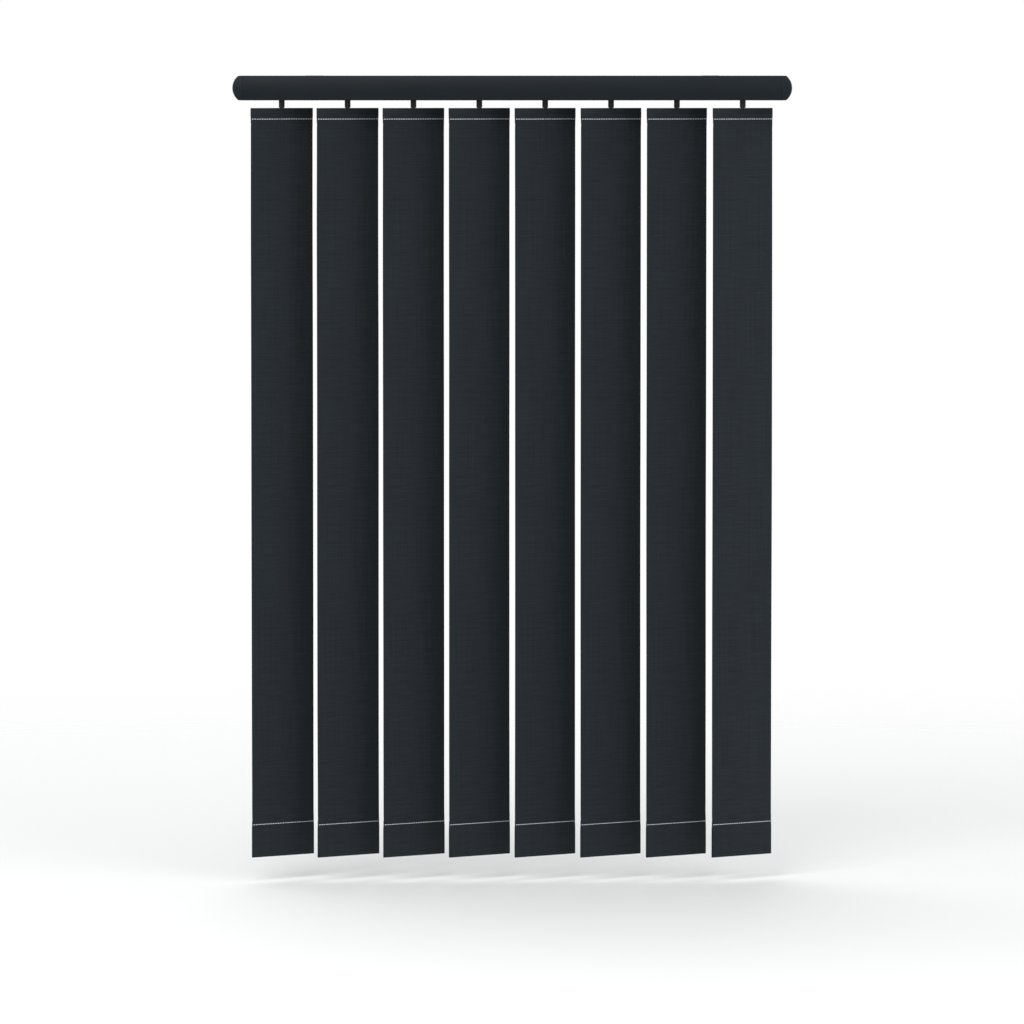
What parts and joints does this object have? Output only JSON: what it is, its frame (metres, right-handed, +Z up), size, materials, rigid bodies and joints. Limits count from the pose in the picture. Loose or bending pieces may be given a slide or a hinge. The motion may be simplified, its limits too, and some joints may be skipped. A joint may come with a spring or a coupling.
{
  "type": "vertical blackout blind",
  "caption": "Vertical blackout blind: hanging cloth vanes on worm-driven stems under a slotted headrail with domed end caps; the vanes tilt together and draw to one side.",
  "frame": {"origin": "on the ceiling plane, midway between the two clip holes", "axes": "+X along the headrail to the right, -Y towards the room, +Z up into the ceiling"},
  "size_m": [0.68, 0.053, 0.9517],
  "materials": {
    "rail_finish": "satin",
    "cap_plastic": "satin",
    "spring_steel": "satin",
    "rod_aluminium": "satin",
    "carrier_plastic": "satin",
    "worm_plastic": "satin",
    "stem_plastic": "satin",
    "hanger_plastic": "satin",
    "vane_cloth": "matte",
    "weight_steel": "satin"
  },
  "bodies": {
    "rail": {"headrail": "rail_finish", "end_cap_control": "cap_plastic", "end_cap_idle": "cap_plastic", "mounting_clip_left": "spring_steel", "mounting_clip_right": "spring_steel", "carrier_1": "carrier_plastic"},
    "rod": {"tilt_rod": "rod_aluminium", "chain_wheel": "carrier_plastic"},
    "worm_drive_1": {"worm_1": "worm_plastic"},
    "vane_1": {"stem_1": "stem_plastic", "hanger_1": "hanger_plastic", "slat_1": "vane_cloth", "weight_1": "weight_steel"},
    "truck_2": {"carrier_2": "carrier_plastic"},
    "worm_drive_2": {"worm_2": "worm_plastic"},
    "vane_2": {"stem_2": "stem_plastic", "hanger_2": "hanger_plastic", "slat_2": "vane_cloth", "weight_2": "weight_steel"},
    "truck_3": {"carrier_3": "carrier_plastic"},
    "worm_drive_3": {"worm_3": "worm_plastic"},
    "vane_3": {"stem_3": "stem_plastic", "hanger_3": "hanger_plastic", "slat_3": "vane_cloth", "weight_3": "weight_steel"},
    "truck_4": {"carrier_4": "carrier_plastic"},
    "worm_drive_4": {"worm_4": "worm_plastic"},
    "vane_4": {"stem_4": "stem_plastic", "hanger_4": "hanger_plastic", "slat_4": "vane_cloth", "weight_4": "weight_steel"},
    "truck_5": {"carrier_5": "carrier_plastic"},
    "worm_drive_5": {"worm_5": "worm_plastic"},
    "vane_5": {"stem_5": "stem_plastic", "hanger_5": "hanger_plastic", "slat_5": "vane_cloth", "weight_5": "weight_steel"},
    "truck_6": {"carrier_6": "carrier_plastic"},
    "worm_drive_6": {"worm_6": "worm_plastic"},
    "vane_6": {"stem_6": "stem_plastic", "hanger_6": "hanger_plastic", "slat_6": "vane_cloth", "weight_6": "weight_steel"},
    "truck_7": {"carrier_7": "carrier_plastic"},
    "worm_drive_7": {"worm_7": "worm_plastic"},
    "vane_7": {"stem_7": "stem_plastic", "hanger_7": "hanger_plastic", "slat_7": "vane_cloth", "weight_7": "weight_steel"},
    "truck_8": {"carrier_8": "carrier_plastic"},
    "worm_drive_8": {"worm_8": "worm_plastic"},
    "vane_8": {"stem_8": "stem_plastic", "hanger_8": "hanger_plastic", "slat_8": "vane_cloth", "weight_8": "weight_steel"}
  },
  "joints": [
    {"name": "traverse", "type": "slide", "parent": "rail", "child": "truck_8", "axis": [-1, 0, 0], "range_m": [0, 0.413]},
    {"name": "truck_2_slide", "type": "slide", "parent": "rail", "child": "truck_2", "axis": [-1, 0, 0], "range_m": [0, 0.0595]},
    {"name": "truck_3_slide", "type": "slide", "parent": "rail", "child": "truck_3", "axis": [-1, 0, 0], "range_m": [0, 0.1185]},
    {"name": "truck_4_slide", "type": "slide", "parent": "rail", "child": "truck_4", "axis": [-1, 0, 0], "range_m": [0, 0.1775]},
    {"name": "truck_5_slide", "type": "slide", "parent": "rail", "child": "truck_5", "axis": [-1, 0, 0], "range_m": [0, 0.2365]},
    {"name": "truck_6_slide", "type": "slide", "parent": "rail", "child": "truck_6", "axis": [-1, 0, 0], "range_m": [0, 0.2955]},
    {"name": "truck_7_slide", "type": "slide", "parent": "rail", "child": "truck_7", "axis": [-1, 0, 0], "range_m": [0, 0.3545]},
    {"name": "tilt", "type": "hinge", "parent": "rail", "child": "vane_1", "pos_m": [-0.28, 0, -0.016], "axis": [0, 0, 1], "range_deg": [-24.5, 135.5]},
    {"name": "vane_2_tilt", "type": "hinge", "parent": "truck_2", "child": "vane_2", "pos_m": [-0.2, 0, -0.016], "axis": [0, 0, 1], "range_deg": [-25, 136]},
    {"name": "vane_3_tilt", "type": "hinge", "parent": "truck_3", "child": "vane_3", "pos_m": [-0.12, 0, -0.016], "axis": [0, 0, 1], "range_deg": [-25, 136]},
    {"name": "vane_4_tilt", "type": "hinge", "parent": "truck_4", "child": "vane_4", "pos_m": [-0.04, 0, -0.016], "axis": [0, 0, 1], "range_deg": [-25, 136]},
    {"name": "vane_5_tilt", "type": "hinge", "parent": "truck_5", "child": "vane_5", "pos_m": [0.04, 0, -0.016], "axis": [0, 0, 1], "range_deg": [-25, 136]},
    {"name": "vane_6_tilt", "type": "hinge", "parent": "truck_6", "child": "vane_6", "pos_m": [0.12, 0, -0.016], "axis": [0, 0, 1], "range_deg": [-25, 136]},
    {"name": "vane_7_tilt", "type": "hinge", "parent": "truck_7", "child": "vane_7", "pos_m": [0.2, 0, -0.016], "axis": [0, 0, 1], "range_deg": [-25, 136]},
    {"name": "vane_8_tilt", "type": "hinge", "parent": "truck_8", "child": "vane_8", "pos_m": [0.28, 0, -0.016], "axis": [0, 0, 1], "range_deg": [-25, 136]},
    {"name": "rod_turn", "type": "hinge", "parent": "rail", "child": "rod", "pos_m": [0, 0.01089, -0.016], "axis": [1, 0, 0], "range_deg": [-200, 1088]},
    {"name": "worm_1_turn", "type": "hinge", "parent": "rail", "child": "worm_drive_1", "pos_m": [-0.28, 0.01089, -0.016], "axis": [1, 0, 0], "range_deg": [-200, 1088]},
    {"name": "worm_2_turn", "type": "hinge", "parent": "truck_2", "child": "worm_drive_2", "pos_m": [-0.2, 0.01089, -0.016], "axis": [1, 0, 0], "range_deg": [-200, 1088]},
    {"name": "worm_3_turn", "type": "hinge", "parent": "truck_3", "child": "worm_drive_3", "pos_m": [-0.12, 0.01089, -0.016], "axis": [1, 0, 0], "range_deg": [-200, 1088]},
    {"name": "worm_4_turn", "type": "hinge", "parent": "truck_4", "child": "worm_drive_4", "pos_m": [-0.04, 0.01089, -0.016], "axis": [1, 0, 0], "range_deg": [-200, 1088]},
    {"name": "worm_5_turn", "type": "hinge", "parent": "truck_5", "child": "worm_drive_5", "pos_m": [0.04, 0.01089, -0.016], "axis": [1, 0, 0], "range_deg": [-200, 1088]},
    {"name": "worm_6_turn", "type": "hinge", "parent": "truck_6", "child": "worm_drive_6", "pos_m": [0.12, 0.01089, -0.016], "axis": [1, 0, 0], "range_deg": [-200, 1088]},
    {"name": "worm_7_turn", "type": "hinge", "parent": "truck_7", "child": "worm_drive_7", "pos_m": [0.2, 0.01089, -0.016], "axis": [1, 0, 0], "range_deg": [-200, 1088]},
    {"name": "worm_8_turn", "type": "hinge", "parent": "truck_8", "child": "worm_drive_8", "pos_m": [0.28, 0.01089, -0.016], "axis": [1, 0, 0], "range_deg": [-200, 1088]}
  ],
  "couplings": [
    {"joint": "truck_2_slide", "follows": "traverse", "ratio": 0.14286},
    {"joint": "truck_3_slide", "follows": "traverse", "ratio": 0.28571},
    {"joint": "truck_4_slide", "follows": "traverse", "ratio": 0.42857},
    {"joint": "truck_5_slide", "follows": "traverse", "ratio": 0.57143},
    {"joint": "truck_6_slide", "follows": "traverse", "ratio": 0.71429},
    {"joint": "truck_7_slide", "follows": "traverse", "ratio": 0.85714},
    {"joint": "vane_2_tilt", "follows": "tilt", "ratio": 1},
    {"joint": "vane_3_tilt", "follows": "tilt", "ratio": 1},
    {"joint": "vane_4_tilt", "follows": "tilt", "ratio": 1},
    {"joint": "vane_5_tilt", "follows": "tilt", "ratio": 1},
    {"joint": "vane_6_tilt", "follows": "tilt", "ratio": 1},
    {"joint": "vane_7_tilt", "follows": "tilt", "ratio": 1},
    {"joint": "vane_8_tilt", "follows": "tilt", "ratio": 1},
    {"joint": "rod_turn", "follows": "tilt", "ratio": 8},
    {"joint": "worm_1_turn", "follows": "tilt", "ratio": 8},
    {"joint": "worm_2_turn", "follows": "tilt", "ratio": 8},
    {"joint": "worm_3_turn", "follows": "tilt", "ratio": 8},
    {"joint": "worm_4_turn", "follows": "tilt", "ratio": 8},
    {"joint": "worm_5_turn", "follows": "tilt", "ratio": 8},
    {"joint": "worm_6_turn", "follows": "tilt", "ratio": 8},
    {"joint": "worm_7_turn", "follows": "tilt", "ratio": 8},
    {"joint": "worm_8_turn", "follows": "tilt", "ratio": 8}
  ]
}
